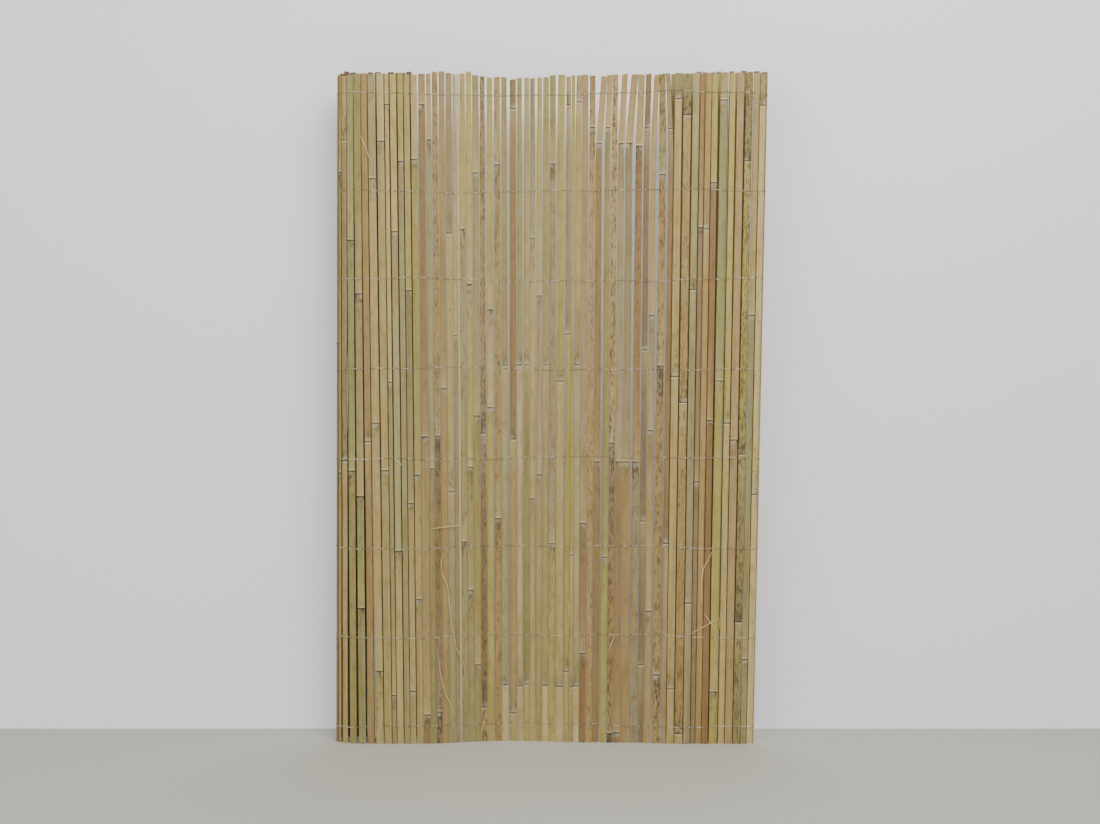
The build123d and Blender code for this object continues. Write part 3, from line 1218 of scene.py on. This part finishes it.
@dataclass(frozen=True)
class LooseFibres:
    """Thin fibres that still hang on the slats, drawn as lines on the front."""

    name: str
    lines: tuple[tuple[tuple[float, float], ...], ...]
    sweep: Sweep
    tone: Tone = Tone.FIBRE
    radius: float = 1.05 * MM
    lift: float = 1.3 * MM
    arch: float = 1.5 * MM
    cuts: int = 4
    seed: int = 3
    # What the bamboo's finish reads, as on clean skin far from any node
    clean: ClassVar[dict[str, float]] = {
        "specks": 0.0, "inside": 1.0, "bright_side": 0.3, "waxy_side": 0.3, "outer": 1.0, "across": 0.0,
    }

    def guide(self, plan: SheetPlan, view: View, front: float) -> bpy.types.Mesh:
        """The fibres' lines, laid just in front of the slats that they hang on.

        Args:
            plan: all slats.
            view: how the lines' points lie on the front.
            front: y of the foremost face.

        Returns:
            The guide lines.
        """
        slats = [s for s in plan.slats if s.stretch == "front" or (s.stretch == "left_turn" and s.number > 5)]
        chance = random.Random(self.seed)
        lines = []
        data: dict[str, list] = {}
        for drawn in self.lines:
            fine = []
            for start, end in zip(drawn, drawn[1:]):
                step = ((end[0] - start[0]) / self.cuts, (end[1] - start[1]) / self.cuts)
                fine += [(start[0] + step[0] * n, start[1] + step[1] * n) for n in range(self.cuts)]
            fine.append(drawn[-1])
            seed = chance.random()
            points = []
            for number, (px, py) in enumerate(fine):
                x, z = view.point(px, py, 0.0)
                near = min(slats, key=lambda s: abs(s.at(z).x - x))
                x, z = view.point(px, py, near.at(z).y - front)
                bow = math.sin(number / (len(fine) - 1) * math.pi)
                y = near.at(z).y - plan.THICKNESS / 2 - self.lift - bow * self.arch
                points.append((x, max(y, front + 0.5 * MM), z))
                values = {"thick": 0.3 + 0.7 * bow**0.6, "tone": self.tone.colour(), "seed": seed}
                for key, value in {**values, **self.clean}.items():
                    data.setdefault(key, []).append(value)
            lines.append(np.array(points))
        return guide_mesh(self.name, lines, data)

    def group(self) -> bpy.types.NodeTree:
        """The sweep of a round section that tapers to both ends of each fibre.

        Returns:
            The node tree.
        """
        group, tree, given = self.sweep.group()
        line = tree.out("GeometryNodeMeshToCurve", 0, None, {"Mesh": given["Geometry"]})
        ring = self.sweep.ring(tree, given["Sides"], given["Size"])
        thick = self.sweep.read(tree, "thick")
        inputs = {"Curve": line, "Profile Curve": ring, "Scale": thick, "Fill Caps": True}
        solid = tree.out("GeometryNodeCurveToMesh", 0, None, inputs)
        self.sweep.end(tree, solid, given["Finish"])
        return group

    def build(
        self, plan: SheetPlan, view: View, front: float, finish: bpy.types.Material
    ) -> bpy.types.Object:
        """Build and dress the fibres.

        Args:
            plan: all slats.
            view: how the lines' points lie on the front.
            front: y of the foremost face.
            finish: the bamboo.

        Returns:
            The piece.
        """
        guide = self.guide(plan, view, front)
        piece = self.sweep.run(self.group(), guide, self.name, 1.0, self.radius, finish)
        piece.data.shade_smooth()
        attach(piece, "root")
        log.info("%s: %d fibres", self.name, len(self.lines))
        return piece


@dataclass(frozen=True)
class WallFinish(PlainFinish):
    """A pale matt colour with a faint glow, which only the camera sees, and only from the wall's front; a
    painted shadow dims the glow behind the slats.
    """

    glow: float = 0.17
    # A painted shadow of the slats dims the glow behind them: from which x to which, and up to which height
    shade_side: tuple[float, float] = (0.46, 0.5)
    shade_top: tuple[float, float] = (0.3, 1.4)
    shaded: Tint = (0.25, 0.25, 0.25)

    def material(self) -> bpy.types.Material:
        """Make the material.

        Returns:
            The material.
        """
        made = super().material()
        tree = Tree(made.node_tree)
        nodes = {node.bl_idname: node for node in made.node_tree.nodes}
        shader = nodes["ShaderNodeBsdfPrincipled"]
        place = tree.node("ShaderNodeSeparateXYZ", None, {0: tree.out("ShaderNodeTexCoord", "Object")})
        aside, height = Socket(tree, place.outputs[0]).maths("ABSOLUTE"), Socket(tree, place.outputs[2])
        # Painted shadow of the slats on the wall
        shade = (1.0 - aside.ramp(*self.shade_side)) * (1.0 - height.ramp(*self.shade_top))
        glowing = tree.mix(shade, WHITE, (*self.shaded, 1.0))
        tree.tree.links.new(glowing.socket, shader.inputs["Emission Color"])
        shader.inputs["Emission Strength"].default_value = self.glow
        plain = Socket(tree, shader.outputs[0])
        behind = tree.out("ShaderNodeNewGeometry", "Backfacing")
        seen = tree.out("ShaderNodeLightPath", "Is Camera Ray") * (1.0 - behind)
        clear = tree.out("ShaderNodeBsdfTransparent", 0)
        mixed = tree.out("ShaderNodeMixShader", 0, None, {0: seen, 1: clear, 2: plain})
        tree.tree.links.new(mixed.socket, nodes["ShaderNodeOutputMaterial"].inputs["Surface"])
        return made


@dataclass(frozen=True)
class SoftLight:
    """One wide lamp of the studio."""

    name: str
    place: tuple[float, float, float]
    aim: tuple[float, float, float]
    size: float
    watts: float

    def build(self) -> None:
        """Hang the lamp and turn it to what it lights."""
        data = bpy.data.lights.new(self.name, "AREA")
        data.size = self.size
        data.energy = self.watts
        made = bpy.data.objects.new(self.name, data)
        made.location = self.place
        made.rotation_euler = (Vector(self.aim) - Vector(self.place)).to_track_quat("-Z", "Y").to_euler()
        bpy.context.scene.collection.objects.link(made)


@dataclass(frozen=True)
class Studio:
    """A plain floor and wall, and soft light from the front and above."""

    floor: PlainFinish = PlainFinish("floor", (204, 202, 190))
    wall: PlainFinish = WallFinish("wall", (250, 250, 253))
    pale: Rgb = (240, 240, 242)
    wall_behind: float = 0.07
    wall_height: float = 5.0
    reach: float = 8.0
    ambient: float = 0.5
    lights: tuple[SoftLight, ...] = (
        SoftLight("key", (0.9, -2.3, 3.1), (0, 0, 0.95), 1.8, 82),
        SoftLight("fill", (-1.9, -2.8, 1.9), (0, 0, 0.8), 2.4, 30),
        SoftLight("top", (0.2, 1.6, 3.2), (0, 0, 0.6), 2.0, 26),
    )

    @staticmethod
    def panel(corners: list[tuple[float, float, float]], finish: PlainFinish) -> None:
        """Add one flat face of the stage.

        Args:
            corners: its four corners, in turn as seen from its front.
            finish: its colour.
        """
        mesh = bpy.data.meshes.new(finish.name)
        mesh.from_pydata(corners, [], [(0, 1, 2, 3)])
        mesh.materials.append(finish.material())
        made = bpy.data.objects.new(finish.name, mesh)
        bpy.context.scene.collection.objects.link(made)
        made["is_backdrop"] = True

    def build(self, back: float) -> None:
        """Build the studio.

        Args:
            back: y of the object's rearmost face.
        """
        far, high, y = self.reach, self.wall_height, back + self.wall_behind
        self.panel([(-far, -far, 0), (far, -far, 0), (far, far, 0), (-far, far, 0)], self.floor)
        self.panel([(-far, y, 0), (far, y, 0), (far, y, high), (-far, y, high)], self.wall)
        for light in self.lights:
            light.build()
        world = bpy.data.worlds.new("studio")
        world.use_nodes = True
        world.node_tree.nodes.clear()
        tree = Tree(world.node_tree)
        seen = tree.out("ShaderNodeLightPath", "Is Camera Ray")
        colour = tree.mix(seen, WHITE, linear(*self.pale))
        inputs = {"Color": colour, "Strength": self.ambient + seen * (1.0 - self.ambient)}
        sky = tree.node("ShaderNodeBackground", None, inputs)
        tree.node("ShaderNodeOutputWorld", None, {"Surface": Socket(tree, sky.outputs[0])})
        bpy.context.scene.world = world


# Loose fibres and splinters, as lines in the view's own measure
FIBRES = (
    ((360.6, 136.5), (365, 146), (369.7, 159.5)),
    ((445.5, 312), (453, 305)),
    ((396, 460), (403, 466)),
    ((449, 477), (454, 487)),
    ((429, 529), (453, 526), (465, 526)),
    (
        (450, 544), (441, 561), (442, 573), (448, 587), (450, 610),
        (452, 625), (456, 647), (464, 663), (465, 676), (458, 688),
    ),
    ((437, 647), (441, 676), (447, 697), (452, 706), (453, 728)),
    ((487, 709), (481, 735)),
    ((714, 548), (703, 569), (701, 585), (702, 604)),
    ((704, 613), (718, 634)),
    ((687, 636), (719, 618)),
    ((615, 634), (608, 651)),
    ((569, 601), (569, 621)),
)
EDGE_SPLINTERS = (
    ((347.5, 355), (347.5, 430)),
    ((547, 350), (547, 408)),
    ((601.5, 373), (601.5, 430)),
    ((723, 590), (718, 636)),
    ((739.5, 715), (738, 741)),
)


def rows_of_wire() -> list[float]:
    """The heights of the part's rows of wire. Returns: heights from the lowest row up."""
    heights = []
    for number in range(1, WIRE_ROWS + 1):
        low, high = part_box(f"wire_row_{number}")
        heights.append((low.z + high.z) / 2)
    return heights


def main() -> None:
    """Build every sub-assembly in order."""
    logging.basicConfig(level=logging.INFO, format="%(message)s")
    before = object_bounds()
    low, high = before
    front = low.y + WIRE_BEFORE_FRONT
    plan = SheetPlan(frame["nodes"])

    bamboo, wire = BambooFinish().material(), WireFinish().material()
    sweep = Sweep("slat_sweep", 16)
    stretches = (
        SlatStretch("slats_of_left_return", "left_return", 1, 10, sweep),
        SlatStretch("slats_of_left_turn", "left_turn", 1, 8, sweep),
        SlatStretch("slats_of_front_left", "front", 1, 18, sweep),
        SlatStretch("slats_of_front_middle", "front", 19, 38, sweep),
        SlatStretch("slats_of_front_right", "front", 39, 56, sweep),
        SlatStretch("slats_of_right_turn", "right_turn", 1, 6, sweep),
        SlatStretch("slats_of_right_return", "right_return", 1, 12, sweep),
    )
    for stretch in stretches:
        stretch.build(plan, bamboo)
    for number, height in enumerate(rows_of_wire(), start=1):
        WireRow(number, height, Sweep("wire_sweep", 6)).build(plan, wire)
    ends = [s.at(View.ends_at).x for s in plan.slats if s.stretch == "front" and s.number in (1, 56)]
    view = View(middle_x=sum(ends) / 2)
    LooseFibres("loose_fibres", FIBRES, Sweep("fibre_sweep", 6)).build(plan, view, front, bamboo)
    splinters = LooseFibres(
        "edge_splinters", EDGE_SPLINTERS, Sweep("splinter_sweep", 6), Tone.PALE,
        radius=1.0 * MM, lift=0.2 * MM, arch=0.3 * MM,
    )
    splinters.build(plan, view, front, bamboo)
    Studio().build(high.y)
    view.build(front)


if __name__ == "__main__":
    main()
